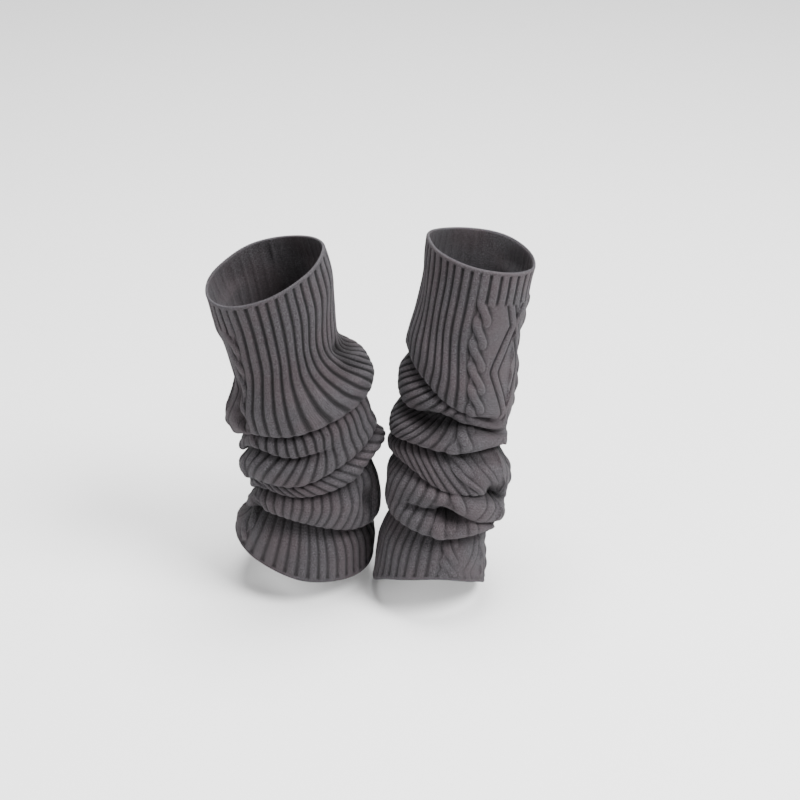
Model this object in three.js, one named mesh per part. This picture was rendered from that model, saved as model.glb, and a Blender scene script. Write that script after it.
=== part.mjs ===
// A pair of slouched leg warmers, knitted in a wide rib, in the shape that they have when they are worn:
// tight round the calf, bunched into soft rolls below it, and open over the instep. Each is a hollow tube of
// two solids that meet in a purl groove: the ribbed part, and the panel on the outer side with two rope cables
// and a column of knitted diamonds. Units are millimetres and degrees, with +Z up and the wearer facing -Y.
// The origin lies midway between the two calves, at the height of the top edges.
import * as THREE from "three";

// The cloth
const WALL = 3.4; // from the face of a rib straight in to the plain inside
const RIB_HEIGHT = 1.3; // what a rib stands above its groove
const RIBS_ROUND = 36; // rib pitches round the whole tube, the panel's share included
const PITCH = 360 / RIBS_ROUND;
const SEAM_GAP = 1.2; // between the ribbed part and the panel, in degrees round the leg
const INNER_STEP = 2; // rib pitches in one facet of the plain inside

// The cable panel, in rib pitches to each side of its middle and in millimetres down the cloth
const PANEL_HALF = 6;
const WELT = 26; // the ribbed band above the panel
const CABLE_AT = 4.9;
const CABLE_HALF = 0.8;
const CABLE_CROSSING = 17; // cloth between two crossings of the rope's strands
const CABLE_SLANT = 0.45; // how far a strand slants across half the rope, in crossings
const CABLE_HEIGHT = 2.2;
const GROUND_HEIGHT = 0.5; // the plain knit between the raised lines
const DIAMOND_HALF = 2.75;
const DIAMOND_LENGTH = 76;
const DIAMOND_START = 47; // the first crossing of the two lines, below the top edge
const LINE_HALF = 0.45;
const LINE_HEIGHT = 1.7;
const PANEL_COLUMNS = [0.7, 1.4, 2.1, 2.75, 3.4, 4.1, 4.5, 4.9, 5.3, 5.7]; // close together at the cables

// The mesh
const ROW_RIBS = 13; // cloth between two rows of points on the ribbed part
const ROW_PANEL = 6.6; // and on the panel

// A crease
const CREASE_EASE = 3; // what its lip lies above its middle, and its tuck below
const LIP_DEPTH = 0.35; // how far in the lip lies, as a share of the tuck's depth

const MATERIAL = { color: 0x6c686c, roughness: 0.95, metalness: 0 };

// A table's rows as objects with its columns' names.
const table = (columns, rows) =>
  rows.map((row) => Object.fromEntries(columns.map((name, i) => [name, row[i]])));

// The rings of a leg warmer from its top edge to its hem, each with values for the leg's front, outer side, back
// and inner side: its drop below the calf line, its reach from the leg's centre line, and the turn, which is how
// far the knit has twisted round the leg by then, in degrees towards the outer side. A crease gives the depth of
// its tuck in place of the reach.
const COLUMNS = ["ring", "drop", "reach", "turn"];

const RIGHT_RINGS = table(COLUMNS, [
  ["rim", [8, 22, -1, -15], [50, 54, 48, 51], [0, 0, 0, 0]],
  ["calf", [34, 54, 32, 14], [50, 51, 48, 52], [0, 0, 0, 0]],
  ["shin", [66, 98, 72, 58], [50, 47, 50, 49], [2, -4, 0, -2]],
  ["roll", [106, 138, 128, 100], [58, 60, 57, 70], [8, -16, 0, -10]],
  ["crease", [128, 160, 160, 128], [13, 4, 8, 5], [8, -16, 0, -10]],
  ["roll", [140, 169, 168, 142], [57, 58, 55, 64], [3, -12, 0, -15]],
  ["crease", [153, 178, 175, 156], [8, 8, 5, 0], [5, -8, 0, -14]],
  ["roll", [166, 192, 189, 166], [60, 59, 58, 73.5], [10, -4, 0, -11]],
  ["crease", [178, 206, 202, 174], [8, 5, 5, 4], [15, 0, 0, -8]],
  ["roll", [185, 213, 210, 181], [57, 56, 57, 73.5], [11, 3, 0, -9]],
  ["crease", [192, 221, 218, 189], [12, 6, 6, 6], [7, 6, 0, -10]],
  ["roll", [206, 230, 233, 216], [60, 54, 58, 67], [11, 11, 2, -6]],
  ["crease", [219, 240, 248, 246], [12, 4, 8, 9], [16, 17, 6, 0]],
  ["band", [250, 252, 264, 268], [55, 62, 58, 57], [20, 24, 10, 4]],
  ["hem", [285, 262, 280, 290], [57, 67, 60, 56], [23, 30, 14, 8]],
]);

const LEFT_RINGS = table(COLUMNS, [
  ["rim", [-7, 9, 3, -13], [52, 46, 52, 46], [0, 0, 0, 0]],
  ["calf", [24, 34, 30, 20], [52, 45, 52, 45], [0, 0, 0, 0]],
  ["shin", [54, 70, 60, 44], [52, 43, 52, 47], [2, 4, 0, 0]],
  ["roll", [80, 103, 92, 66], [57, 45, 55, 51], [8, 11, 0, 0]],
  ["crease", [97, 131, 122, 92], [11, 1, 5, 7], [8, 13, 0, -3]],
  ["roll", [107, 142, 136, 111], [57, 46, 55, 52], [1, 10, 0, -10]],
  ["crease", [117, 153, 150, 131], [12, 4, 6, 7], [-4, 6, 0, -14]],
  ["roll", [129, 164, 167, 150], [61, 47, 56, 53], [-6, 2, 0, -18]],
  ["crease", [142, 176, 184, 167], [12, 7, 6, 1], [-8, 0, 0, -19]],
  ["roll", [158, 191, 197, 176], [60, 54, 58, 53], [3, 3, 0, -10]],
  ["crease", [174, 206, 210, 185], [12, 3, 5, 6], [13, 6, 0, -2]],
  ["roll", [188, 220, 223, 200], [62, 55, 58, 51], [5, 6, 0, -5]],
  ["crease", [201, 233, 236, 215], [8, 5, 3, 0], [-3, 4, 0, -8]],
  ["roll", [211, 241, 244, 224], [60, 51, 57, 50], [1, 4, 0, -7]],
  ["crease", [221, 249, 252, 234], [11, 8, 7, 4], [6, 4, 0, -5]],
  ["band", [244, 272, 274, 268], [54, 44, 54, 49], [6, 4, 0, -4]],
  ["hem", [264, 304, 306, 300], [58, 49, 55, 50], [4, 4, 0, -4]],
]);

// The centre line of a leg: where it runs at the top edge, at the shin and at the ankle.
const STATIONS = ["drop", "x", "y"];

// outward is the side of the outer ankle along X, and panelAt the direction of the panel's middle, in degrees
// from the leg's front towards its outer side.
const LEGS = {
  right: {
    outward: -1,
    panelAt: 112,
    rings: RIGHT_RINGS,
    line: table(STATIONS, [[0, -87, -12], [130, -68, -3], [287, -58, 9]]),
  },
  left: {
    outward: 1,
    panelAt: 64,
    rings: LEFT_RINGS,
    line: table(STATIONS, [[0, 87, 12], [130, 69, -2], [287, 48, -17]]),
  },
};

const { clamp, degToRad, euclideanModulo } = THREE.MathUtils;

// A smooth value round the leg, through those at its front, outer side, back and inner side.
function around([front, outer, back, inner], angle) {
  const a = degToRad(angle);
  const mean = (front + outer + back + inner) / 4;
  const oval = (front + back - outer - inner) / 4;
  return mean + ((front - back) / 2) * Math.cos(a) + ((outer - inner) / 2) * Math.sin(a) + oval * Math.cos(2 * a);
}

// The leg's centre at a drop, on the parabola through its three stations.
function centreAt({ line: [a, b, c] }, drop) {
  const weightA = ((drop - b.drop) * (drop - c.drop)) / ((a.drop - b.drop) * (a.drop - c.drop));
  const weightB = ((drop - a.drop) * (drop - c.drop)) / ((b.drop - a.drop) * (b.drop - c.drop));
  const weightC = 1 - weightA - weightB;
  return {
    x: weightA * a.x + weightB * b.x + weightC * c.x,
    y: weightA * a.y + weightB * b.y + weightC * c.y,
  };
}

// The point at a drop and a reach, in a direction round the leg.
function pointAt(leg, angle, drop, reach) {
  const centre = centreAt(leg, drop);
  const a = degToRad(angle);
  return new THREE.Vector3(
    centre.x + leg.outward * reach * Math.sin(a),
    centre.y - reach * Math.cos(a),
    -drop,
  );
}

// A crease's two points: the lip of the roll above it, and the tuck behind that lip.
function creasePoints(leg, i, angle, inset) {
  const ring = leg.rings[i];
  const depth = Math.max(around(ring.reach, angle), 0.3);
  const body = (around(leg.rings[i - 1].reach, angle) + around(leg.rings[i + 1].reach, angle)) / 2;
  const drop = around(ring.drop, angle);
  return [
    pointAt(leg, angle, drop - CREASE_EASE, body - LIP_DEPTH * depth - inset),
    pointAt(leg, angle, drop + CREASE_EASE, body - depth - inset),
  ];
}

// One column of the knit from the top edge to the hem, on the ribs' faces or set in from them.
function columnAt(leg, angle, inset = 0) {
  const points = leg.rings.flatMap((ring, i) => {
    const turned = angle + around(ring.turn, angle);
    return ring.ring === "crease"
      ? creasePoints(leg, i, turned, inset)
      : [pointAt(leg, turned, around(ring.drop, turned), around(ring.reach, turned) - inset)];
  });
  return new THREE.CatmullRomCurve3(points, false, "centripetal");
}

// The rows of points down the cloth: each row's place on a column's curve, and the cloth above it.
function rowsDown(leg, spacing) {
  const sides = [0, 90, 180, 270].map((side) => columnAt(leg, side));
  const spans = sides[0].points.length - 1;
  const rows = [];
  let cloth = 0;
  for (let i = 0; i < spans; i++) {
    const length = sides.reduce((sum, c) => sum + c.points[i].distanceTo(c.points[i + 1]), 0) / sides.length;
    const steps = Math.max(2, Math.round(length / spacing));
    for (let k = 0; k < steps; k++) rows.push({ t: (i + k / steps) / spans, cloth: cloth + (length * k) / steps });
    cloth += length;
  }
  return [...rows, { t: 1, cloth }];
}

// A column of the outer face, moved out by what is raised there or in by what lies below the ribs' faces.
function outerColumn(leg, place, rows, heightAt) {
  const angle = leg.panelAt + place * PITCH;
  const column = columnAt(leg, angle);
  const before = columnAt(leg, angle - 1);
  const after = columnAt(leg, angle + 1);
  const points = rows.map((row) => {
    const across = after.getPoint(row.t).sub(before.getPoint(row.t)).multiplyScalar(leg.outward);
    const normal = column.getTangent(row.t).cross(across).normalize();
    return column.getPoint(row.t).addScaledVector(normal, heightAt(place, row) - RIB_HEIGHT);
  });
  return { place, rows, points };
}

// A column of the plain inside.
function innerColumn(leg, place, rows) {
  const column = columnAt(leg, leg.panelAt + place * PITCH, WALL);
  return { place, rows, points: rows.map((row) => column.getPoint(row.t)) };
}

// A rope of two strands, which shows as slanting lobes, one for each crossing.
function ropeHeight(across, cloth, outward) {
  const s = across / CABLE_HALF;
  if (Math.abs(s) >= 1) return 0;
  const lobe = Math.abs(Math.cos(Math.PI * (cloth / CABLE_CROSSING - outward * CABLE_SLANT * s)));
  return CABLE_HEIGHT * Math.sqrt(1 - s * s) * Math.sqrt(lobe);
}

// How far a travelling line of the diamonds lies from the panel's middle.
function diamondSwing(cloth) {
  const phase = euclideanModulo((cloth - DIAMOND_START) / DIAMOND_LENGTH, 1);
  return DIAMOND_HALF * (1 - Math.abs(1 - 2 * phase));
}

// What stands above the wall on the panel, at a place in rib pitches from its middle.
function panelHeight(place, row, outward) {
  const side = Math.abs(place);
  if (row.cloth < WELT) return RIB_HEIGHT * Math.abs(Math.sin(Math.PI * place));
  const rope = ropeHeight(place - Math.sign(place) * CABLE_AT, row.cloth, outward);
  const line = LINE_HEIGHT * clamp(1.5 - Math.abs(side - diamondSwing(row.cloth)) / LINE_HALF, 0, 1);
  const ground = side < CABLE_AT - CABLE_HALF ? GROUND_HEIGHT : 0;
  return Math.max(rope, line, ground);
}

// Triangles between two chains of points that run side by side, in the order of their places along them.
function zip(faces, one, other) {
  let [i, j] = [0, 0];
  while (i < one.length - 1 || j < other.length - 1) {
    const onOne = j === other.length - 1 || (i < one.length - 1 && one[i + 1].at <= other[j + 1].at);
    faces.push([one[i].id, onOne ? one[i + 1].id : other[j + 1].id, other[j].id]);
    if (onOne) i++;
    else j++;
  }
}

// A closed wall from its outer and inner columns, which run the same way round. flip is for a mirrored leg.
function closedWall(outer, inner, flip) {
  const points = [];
  const chain = ({ rows, points: own }) => own.map((p, i) => ({ id: points.push(p) - 1, at: rows[i].t }));
  const [outside, inside] = [outer.map(chain), inner.map(chain)];
  const endOf = (columns, chains, row) => chains.map((c, i) => ({ id: c.at(row).id, at: columns[i].place }));
  const faces = [];
  for (let c = 1; c < outside.length; c++) zip(faces, outside[c - 1], outside[c]);
  for (let c = 1; c < inside.length; c++) zip(faces, inside[c], inside[c - 1]);
  zip(faces, endOf(outer, outside, 0), endOf(inner, inside, 0));
  zip(faces, endOf(inner, inside, -1), endOf(outer, outside, -1));
  zip(faces, inside[0], outside[0]);
  zip(faces, outside.at(-1), inside.at(-1));

  const geometry = new THREE.BufferGeometry().setFromPoints(points);
  geometry.setIndex(faces.flatMap(([a, b, c]) => (flip ? [a, c, b] : [a, b, c])));
  geometry.computeVertexNormals();
  return geometry;
}

// Places in rib pitches from the panel's middle, from one edge to the other, with the seam's gap taken off.
function placesBetween(first, last, step) {
  const gap = SEAM_GAP / PITCH / 2;
  const count = Math.round((last - first) / step);
  return Array.from({ length: count + 1 }, (_, i) => clamp(first + i * step, first + gap, last - gap));
}

function wallMesh(name, leg, outer, inner) {
  const mesh = new THREE.Mesh(closedWall(outer, inner, leg.outward < 0), new THREE.MeshStandardMaterial(MATERIAL));
  mesh.name = name;
  return mesh;
}

// The ribbed part goes round the leg from one edge of the panel to the other, a rib's crest and a groove in turn.
// Its two edges have the panel's rows, so that the pieces' edges run side by side.
function ribbedPart(side, leg) {
  const [first, last] = [PANEL_HALF, RIBS_ROUND - PANEL_HALF];
  const [sparse, close] = [rowsDown(leg, ROW_RIBS), rowsDown(leg, ROW_PANEL)];
  const rowsAt = (i, places) => (i === 0 || i === places.length - 1 ? close : sparse);
  const ribAt = (place) => (Math.round(place * 2) % 2 ? RIB_HEIGHT : 0);
  const outer = placesBetween(first, last, 0.5).map((p, i, all) => outerColumn(leg, p, rowsAt(i, all), ribAt));
  const inner = placesBetween(first, last, INNER_STEP).map((p, i, all) => innerColumn(leg, p, rowsAt(i, all)));
  return wallMesh(`${side}_ribbed_part`, leg, outer, inner);
}

// The panel between the ribbed part's two edges, with its raised cables and lines.
function cablePanel(side, leg) {
  const rows = rowsDown(leg, ROW_PANEL);
  const half = [...PANEL_COLUMNS, PANEL_HALF - SEAM_GAP / PITCH / 2];
  const places = [...half.toReversed().map((place) => -place), 0, ...half];
  const heightAt = (place, row) => panelHeight(place, row, leg.outward);
  const outer = places.map((place) => outerColumn(leg, place, rows, heightAt));
  const inner = placesBetween(-PANEL_HALF, PANEL_HALF, INNER_STEP).map((p) => innerColumn(leg, p, rows));
  return wallMesh(`${side}_cable_panel`, leg, outer, inner);
}

const pair = new THREE.Group();
for (const [side, leg] of Object.entries(LEGS)) pair.add(ribbedPart(side, leg), cablePanel(side, leg));

export default pair;
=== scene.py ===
# A pair of slouched leg warmers in a wide rib, with a panel of rope cables and knitted diamonds on each outer
# side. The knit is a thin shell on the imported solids' form: rings of folds, ribs along every column, a soft
# heathered yarn, a chain of stitches along each edge, and a light nap. Sizes in the tables are millimetres.
import math

import bpy
import numpy as np
from bpy.props import FloatProperty, FloatVectorProperty, IntProperty, PointerProperty
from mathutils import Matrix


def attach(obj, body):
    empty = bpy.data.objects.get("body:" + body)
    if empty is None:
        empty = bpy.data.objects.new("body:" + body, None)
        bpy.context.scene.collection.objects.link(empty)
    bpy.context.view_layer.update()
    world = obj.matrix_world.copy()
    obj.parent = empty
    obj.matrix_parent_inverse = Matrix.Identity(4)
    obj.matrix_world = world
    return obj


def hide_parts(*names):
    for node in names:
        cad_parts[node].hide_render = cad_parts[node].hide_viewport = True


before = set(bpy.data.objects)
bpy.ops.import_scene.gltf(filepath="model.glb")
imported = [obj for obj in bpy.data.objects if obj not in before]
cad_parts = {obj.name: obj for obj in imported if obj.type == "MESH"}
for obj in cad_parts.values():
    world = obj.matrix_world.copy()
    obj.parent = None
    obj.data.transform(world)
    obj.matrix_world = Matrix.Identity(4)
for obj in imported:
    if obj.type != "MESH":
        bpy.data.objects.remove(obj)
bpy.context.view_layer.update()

bl_info = {
    "name": "Slouched leg warmers",
    "version": (1, 0, 0),
    "blender": (4, 5, 0),
    "location": "View3D > Sidebar > Knitwear",
    "description": "A pair of ribbed leg warmers with cable panels, with their stage",
    "category": "Add Mesh",
}

MM = 0.001

# Every measure that changes round a tube is given at its inner side, front-inner, front, front-outer, outer
# side and back, or as one number where it is the same all round. Rolls, and the plain parts above and below
# them, have a drop below the origin, a reach from the tube's centre line, a turn of the knit towards the
# outer side, and a slant: how many degrees the ribs travel from the roll's top to its bottom. A crease has
# the depth of its tuck, and hang is how far the roll above it hangs over the tuck.
COMPASS = (-90, -45, 0, 45, 90, 180)
ROLL_COLUMNS = ("ring", "drop", "reach", "turn", "slant")
CREASE_COLUMNS = ("ring", "drop", "depth", "hang")
RIGHT_RINGS = (
    ("rim", (-15, -6, 8, 20, 22, -1), (51, 50, 50, 53, 54, 48), (0, -2, -5, -4, -6, 8), 0),
    ("upper", (14, 20, 34, 48, 54, 32), (52, 51, 50, 51, 51, 48), (2, -1, -5, -4, -6, 8), 0),
    ("waist", (74, 62, 66, 86, 98, 72), (48, 49, 50, 49, 46, 50), (14, 5, -4, -4, -6, 8), 0),
    ("shoulder", (82, 76, 86, 102, 114, 98), (64, 56, 53, 52, 49, 53), (6, 2, -2, -3, -10, 6), 0),
    ("roll", (99, 100, 112, 122, 138, 126), (71, 63, 58, 57, 59, 57), (-14, -15, -3, -2, -14, 4),
     (-20, -36, -6, 0, 0, 0)),
    ("crease", (118, 121, 132, 138, 160, 158), (6, 7, 11, 14, 8, 7), 8),
    ("roll", (128, 133, 143, 145, 169, 166), (62, 59, 55, 52, 52, 53), (12, 4, -4, -8, -12, 4),
     (0, 4, -4, 0, 0, 0)),
    ("crease", (138, 145, 155, 152, 178, 175), (0, 0, 7, 10, 8, 5), 5),
    ("roll", (146, 155, 168, 168, 192, 189), (66, 63, 60, 58, 55, 57), (12, 4, 2, 0, -8, 4),
     (0, 0, 20, 28, 14, 0)),
    ("crease", (153, 163, 181, 186, 206, 202), (6, 7, 8, 9, 4, 4), 5),
    ("roll", (163, 173, 187, 191, 212, 208), (73, 66, 54.5, 51, 49, 55), (12, 6, 2, 0, -4, 4),
     (-20, -20, -20, -20, -8, 0)),
    ("crease", (174, 184, 193, 197, 219, 216), (9, 11, 13, 9, 5, 5), 7),
    ("roll", (212, 212, 207, 207, 229, 232), (64, 62, 60, 55, 51, 57), (16, 14, 6, 1, -2, 4),
     (18, 18, 8, -8, 0, 0)),
    ("crease", (246, 238, 219, 217, 238, 248), (8, 10, 13, 10, 5, 6), 8),
    ("band", (268, 259, 248, 244, 252, 264), (57, 55, 55, 60, 65, 59), (22, 19, 12, 10, 10, 10),
     (0, 0, 6, 12, 8, 0)),
    ("hem", (290, 291, 285, 271, 262, 280), (56, 55, 57, 63, 67, 60), (24, 20, 18, 20, 20, 14), 0),
)
LEFT_RINGS = (
    ("rim", (-13, -13, -7, 2, 9, 3), (46, 49, 52, 49, 46, 52), (6, 6, 0, 0, 4, 6), 0),
    ("upper", (20, 20, 24, 30, 34, 30), (45, 48, 52, 48, 45, 52), (8, 6, -1, 0, 4, 6), 0),
    ("waist", (46, 48, 56, 66, 74, 62), (47, 50, 52, 47, 43, 52), (13, 7, -2, 0, 4, 6), 0),
    ("roll", (66, 72, 91, 108, 114, 96), (50, 54, 57, 51, 47.5, 55), (16, 12, 3, 2, 4, 6),
     (0, -4, 4, 8, 0, 0)),
    ("crease", (80, 88, 109, 130, 138, 118), (8, 11, 14, 2, 0, 5), 9),
    ("roll", (100, 103, 116, 135, 143, 127), (53, 54, 53, 48, 46, 55), (6, 2, -2, 2, 4, 4),
     (-50, -44, -10, 0, 0, 0)),
    ("crease", (121, 121, 122, 140, 150, 135), (9, 14, 14, 5, 1, 6), 4),
    ("roll", (142, 135, 134, 144, 160, 152), (54, 58, 60, 53, 48, 56), (4, 2, -2, 2, 4, 4),
     (-34, -34, -12, 0, 0, 0)),
    ("crease", (158, 147, 145, 149, 170, 168), (6, 8, 12, 12, 7, 6), 6),
    ("roll", (167, 157, 163, 172, 196, 184), (53, 55, 59, 58, 55, 58), (6, 6, 2, 2, 4, 4),
     (15, 34, 38, 20, 0, 0)),
    ("crease", (176, 167, 180, 192, 220, 200), (5, 10, 12, 11, 0, 5), 7),
    ("roll", (191, 184, 190, 207, 231, 211), (51, 57, 62, 61, 56, 58), (6, 4, 2, 4, 6, 4),
     (-6, -10, -8, -4, 0, 0)),
    ("crease", (206, 200, 200, 219, 241, 222), (0, 1, 12, 10, 1, 1), 8),
    ("roll", (213, 210, 212, 226, 247, 231), (50, 57, 61, 57, 49, 56), (0, -4, -6, 2, 6, 4),
     (-4, -8, -6, -4, 0, 0)),
    ("crease", (222, 219, 224, 232, 252, 242), (7, 11, 13, 8, 2, 6), 8),
    ("band", (258, 246, 246, 256, 273, 270), (49, 52, 54, 50, 46, 54), (6, 6, 4, 4, 4, 4),
     (-4, -4, 0, 6, 4, 0)),
    ("hem", (300, 277, 264, 280, 302, 306), (50, 54, 58, 54, 49, 55), (6, 6, 4, 6, 6, 4), 0),
)

# Hollows and swells that lie on only a part of a ring: where each one is, how tall and how many degrees wide
# it is, how far it slopes down towards the outer side in millimetres a degree, and how far it goes out or in
SWELL_COLUMNS = ("tube", "drop", "angle", "tall", "wide", "slope", "out")
SWELLS = (
    ("right", 73, -66, 9, 8, 0.0, -4.5),
    ("right", 106, 96, 3, 14, 0.0, -3),
    ("right", 108, 54, 12, 5, 0.0, -6),
    ("right", 121, 54, 4, 6, 0.0, -4),
    ("right", 129, 51, 6, 7, 0.0, -9),
    ("right", 181, -74, 8, 12, 0.0, -9),
    ("right", 215, -63, 11, 7, 0.0, -10),
    ("right", 217, 50, 6, 8, 0.0, -7),
    ("left", 126, -27, 9, 22, 0.0, -17),
    ("left", 141, 82, 4, 16, 0.0, -4),
    ("left", 160, 26, 3.5, 18, 0.3, -3.5),
    ("left", 194, 47, 6, 11, 0.6, -8),
    ("left", 206, 3, 7, 14, 0.5, -15),
)

# Each leg warmer: which way its outer side lies along X, the direction of its diamonds in degrees from its
# front towards its outer side, and its centre line as (drop, x, y) at the top edge, halfway and at the hem
PAIR = {
    "right": {
        "outward": -1, "panel_at": 93, "rings": RIGHT_RINGS,
        "line": ((0, -87, -12), (130, -68, -3), (287, -58, 9)),
    },
    "left": {
        "outward": 1, "panel_at": 47, "rings": LEFT_RINGS,
        "line": ((0, 87, 12), (130, 69, -2), (287, 48, -17)),
    },
}

# Places round a tube are counted in rib pitches, from the panel's middle towards the back
RIBS_ROUND = 36
PITCH = 360 / RIBS_ROUND
PANEL_FROM, PANEL_TO = -5, 7
STITCHES_IN_RIB = 4

# A crease has a lip above its tuck. Each goes in by a share of the crease's depth, from a body between the
# two rolls that leans to the upper one by a share. Where the crease runs out they stand CREASE_EASE above and
# below it, and the lip comes down over the tuck as the depth grows. From FULL_SLANT of the greatest depth on,
# the ribs run all the way along their slant.
CREASE_EASE = 3
LIP_DEPTH, TUCK_DEPTH = 0.22, 1.3
LIP_LEAN, TUCK_LEAN = 0.7, 0.5
LEAST_DEPTH = 0.3
HANG_GROWTH = 1.5
FULL_SLANT = 0.5

# Unevenness of the hand-pulled cloth: ribs that wander aside, as (pitches, rate, start), and ripples, as
# (millimetres out, millimetres down, degrees round, start)
WANDERS = ((0.05, 1.7, 0.6), (0.04, 0.61, 0))
RIPPLES = ((0.5, 13, 21, 0), (0.4, 7.3, -13, 1))

# No hollow comes nearer to the centre line than this, which leaves the tube open
HOLLOW_REACH = 40
HOLLOW_EASE = 1.5

# A rib mixes a flat top and a round one: how flat it is, where in a pitch its side rises, and over how much.
# It is stretched flat at the top and slack lower down, and it stands out less where the cloth faces down.
STRETCHED_RIB = (0.85, 0.06, 0.18)
SLACK_RIB = (0.5, 0.03, 0.3)
SLACK_FROM, SLACK_OVER = 150, 110
RIB_FLATTENING = 0.6
UNDER_FROM, UNDER_OVER = 0.1, 0.7

# The cable panel, in rib pitches from its middle and in millimetres of cloth
WELT, WELT_EASE = 25, 3
RIBS_BEYOND = 5
CABLE_AT = 4
CABLE_HALF = 0.9
CABLE_CROSSING = 19
FIRST_CROSSING = 33.5
DIAMOND_HALF = 2.1
DIAMOND_LENGTH = 78
DIAMOND_START = 46
LINE_HALF = 0.38

# The two strands of a rope in half widths of it: how far they swing and how wide they are, then their level,
# and what the front one rises and the back one sinks
STRAND_SWING, STRAND_HALF = 0.46, 0.54
STRAND_LEVEL, STRAND_RISE, STRAND_SINK = 0.72, 0.28, 0.62

# The line of the diamonds: the reach and the rounding of its corners, and the grooves beside it in half
# widths of the line. The ground and the line stand out by shares of the rib's depth.
CORNER_REACH, CORNER_ROUNDING = 1.06, 0.004
GROOVE_AT, GROOVE_HALF, GROOVE_DEPTH = 1.3, 0.32, 0.8
GROUND_RISE, LINE_RISE = 0.55, 0.7
GROUND_UNDER_CABLE, GROUND_EASE = 0.8, 0.2

# The pattern is measured down each column at the top. From EVEN_FROM on it is measured evenly all round, and
# the diamonds fade by a share. All relief is lower where rows are crowded, down to this share of an even row.
EVEN_FROM, EVEN_OVER = 100, 40
DIAMOND_FADE = 0.45
CROWDED = 0.25
CROWDED_ROPE = 0.3
ROOM_ROWS, ROOM_COLUMNS = 8, 4

# The plain inside: how much the grooves show there, the rows over which it passes behind a fold, and how far
# its rows are evened out
INSIDE_RIDGE = 0.5
INSIDE_ROWS = 6
INSIDE_EVEN = 0.5

# The cloth is measured in so many fine rows at every so many degrees
MEASURE_ROWS, MEASURE_EVERY = 3000, 30

# The mesh: columns to a rib pitch, rows down the cloth, outer rows to one inner row, and the rounded edges,
# which stay plain for a little and then let the grooves begin. Sharper bends than SHARP_FROM aren't smoothed.
RIB_STEPS = 8
PANEL_STEPS = 16
ROWS = 340
INNER_SKIP = 4
SHARP_FROM = 75
EDGE_STEPS = 5
EDGE_BULGE = 0.8
EDGE_PLAIN, EDGE_EASE = 0.6, 2

# Painted shade: how much darker the colour is made at the bottoms of grooves and tucks, where shade falls.
# There is less of it in the grooves of the slack cloth lower down. There is more in the hollows of the
# swells, full at so many millimetres in. A point is in a groove by how far it lies under the cloth beside it,
# as a share of the rib's depth, and in a tuck by how far it lies behind the crest of the rows above and below
# it. The inside has fixed shares of painted shade in its grooves and tucks, and no nap.
RIB_SHADE = 0.82
CABLE_SHADE = 0.78
SLACK_SHADE = 0.25
TUCK_SHADE = 0.75
GROOVE_ROWS, GROOVE_REACH, GROOVE_FULL = 3, 0.35, 0.42
CREST_ROWS = 14
TUCK_FROM, TUCK_OVER = 3, 9
FULL_SHADE_HOLLOW = 12
INSIDE_SHADES = {"groove": 0.1, "tuck": 0.35, "outside": 0}

# The chain along an edge: points of its line to a rib, then in walls of the knit how far the line lies in
# from the face and past the edge, and how thick its yarn is. A loop is a long bead that leans by degrees.
CHAIN_COLUMNS = 6
CHAIN_IN, CHAIN_PAST, CHAIN_THICKNESS = 0.5, 0.3, 0.62
LOOP_SHAPE, LOOP_LEAN = (1.75, 0.95, 1.0), 28

# A loose fibre: its width and its curl as shares of its length, the shortest one beside the longest, and how
# far it leans and turns at random, in radians
FIBRE_WIDTH, FIBRE_CURL, SHORTEST_FIBRE = 0.02, 0.5, 0.3
FIBRE_LEAN, FIBRE_TURN = 0.9, 3.14

# The heather: how fine its fibres, specks, patches and fuzz are, how much fibres and specks count in the
# shade, and the warm colour that the patches have by a share
STREAK_SCALE, STREAKS = (5.0, 1.2, 1.0), 1.6
SPECKS, PATCHES, FUZZ, YARN_SPECKS = 1100.0, 26.0, 1500.0, 900.0
STREAK_SHARE, SPECK_SHARE = 0.55, 0.45
WARM_COLOUR, WARM_SHARE = (0.062, 0.042, 0.046, 1), 0.3

# The soft lights, in metres and watts, and the camera
LIGHT_COLUMNS = ("name", "place", "size", "power")
LIGHTS = (
    ("key", (1.1, -0.8, 1.6), 1.0, 100),
    ("fill", (-1.3, -0.9, 0.8), 1.4, 12),
    ("top", (0.1, 0.2, 2.0), 1.2, 85),
)
LIGHTS_AIM = (0, 0, -0.15)
ROOM_LIGHT = 0.65
FLOOR_HALF = 4
CAMERA_LENS, CAMERA_SENSOR = 80, 36
CAMERA_TARGET = (0.0209, -0.0025, -0.1302)


class KnitSizes(bpy.types.PropertyGroup):
    """Sizes of the knit that a user would change"""

    wall: FloatProperty(
        name="Wall", description="From the face of a rib to the plain inside",
        default=2.7 * MM, min=1 * MM, unit="LENGTH")
    rib_depth: FloatProperty(
        name="Rib depth", description="How deep the purl grooves between the ribs are",
        default=1.6 * MM, min=0, unit="LENGTH")
    cable_rise: FloatProperty(
        name="Cable rise", description="How far a rope cable stands out from the face of the ribs",
        default=1.7 * MM, min=0, unit="LENGTH")
    stitch_height: FloatProperty(
        name="Stitch height", description="One row of knitting down the cloth",
        default=1.9 * MM, min=0.5 * MM, unit="LENGTH")
    edge_loop: FloatProperty(
        name="Edge loop", description="Distance between two loops of the chain along an edge",
        default=2.4 * MM, min=0.5 * MM, unit="LENGTH")
    nap_length: FloatProperty(
        name="Nap length", description="Length of a loose fibre on the brushed yarn",
        default=2.6 * MM, min=0, unit="LENGTH")
    nap_density: FloatProperty(
        name="Nap density", description="Loose fibres on a square metre of cloth",
        default=90000, min=0)
    nap_seed: IntProperty(
        name="Nap seed", description="Seed of the places of the loose fibres", default=7)


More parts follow.
